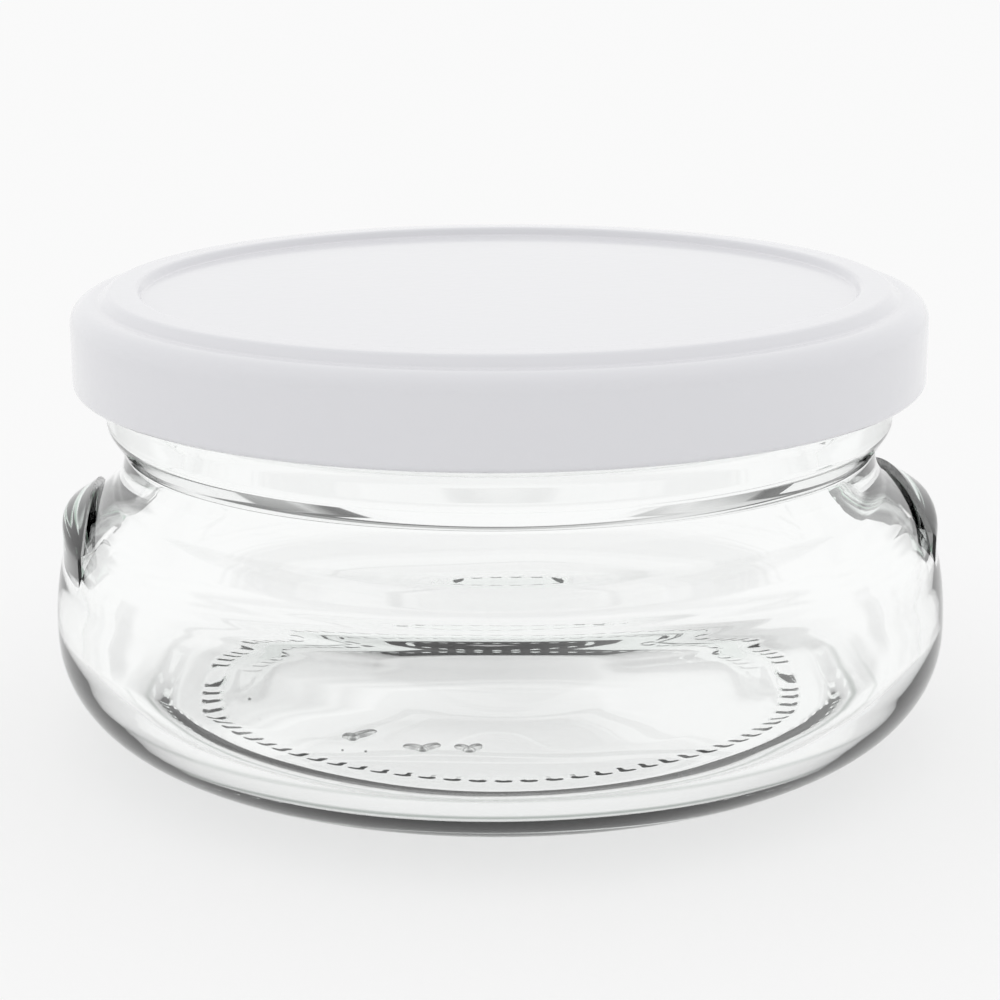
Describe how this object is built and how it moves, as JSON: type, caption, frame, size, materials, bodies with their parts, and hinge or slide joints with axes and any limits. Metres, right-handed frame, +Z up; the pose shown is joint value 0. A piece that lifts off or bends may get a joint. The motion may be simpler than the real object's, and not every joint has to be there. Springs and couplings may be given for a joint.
{
  "type": "low glass canning jar with twist-off cap",
  "caption": "Low wide clear glass jar with rounded body, short neck and two moulded shoulder grips, closed by a flat white twist-off steel cap.",
  "frame": {"origin": "centre of the jar's base, on the plane it stands on", "axes": "+Z up along the jar's axis; the two shoulder grips lie on +X and -X"},
  "size_m": [0.0907, 0.0908, 0.046],
  "materials": {
    "glass": "clear soda-lime glass with a faint green edge tint",
    "cap_lacquer": "glossy cool white lacquer on tinplate",
    "seal": "soft off-white sealing compound"
  },
  "bodies": {
    "root": {"glass_jar": "glass", "twist_cap": "cap_lacquer", "sealing_ring": "seal"}
  },
  "joints": []
}
